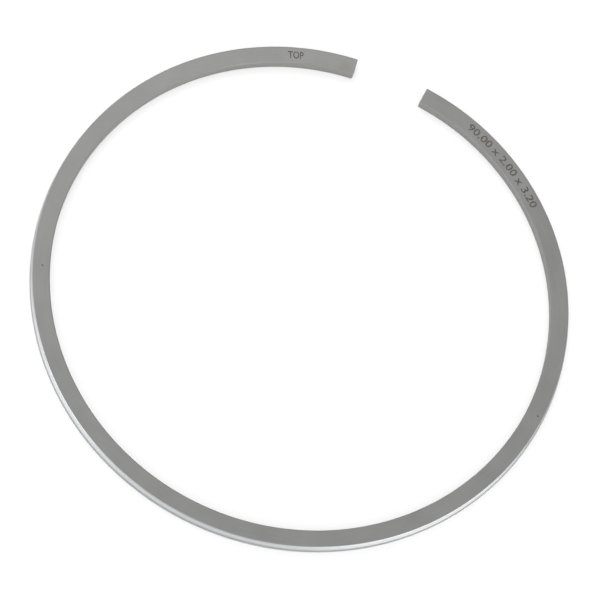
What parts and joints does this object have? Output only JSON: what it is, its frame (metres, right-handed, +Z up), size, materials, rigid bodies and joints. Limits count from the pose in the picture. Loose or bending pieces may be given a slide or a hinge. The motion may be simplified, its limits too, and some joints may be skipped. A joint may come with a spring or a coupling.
{
  "type": "piston ring",
  "caption": "Split compression ring for a piston, sprung open in its free shape, with square-cut ends, flat ground sides and a bright barrel-faced rim.",
  "frame": {"origin": "on the lower side face's plane, under the middle of the free ring's box", "axes": "+Z up through the ring, towards the side that faces the piston crown; +Y from the back of the ring to its gap; +X across"},
  "size_m": [0.0948, 0.0924, 0.002],
  "materials": {
    "ring_steel": "ground satin sides, polished running face"
  },
  "bodies": {
    "root": {"piston_ring": "ring_steel"}
  },
  "joints": []
}
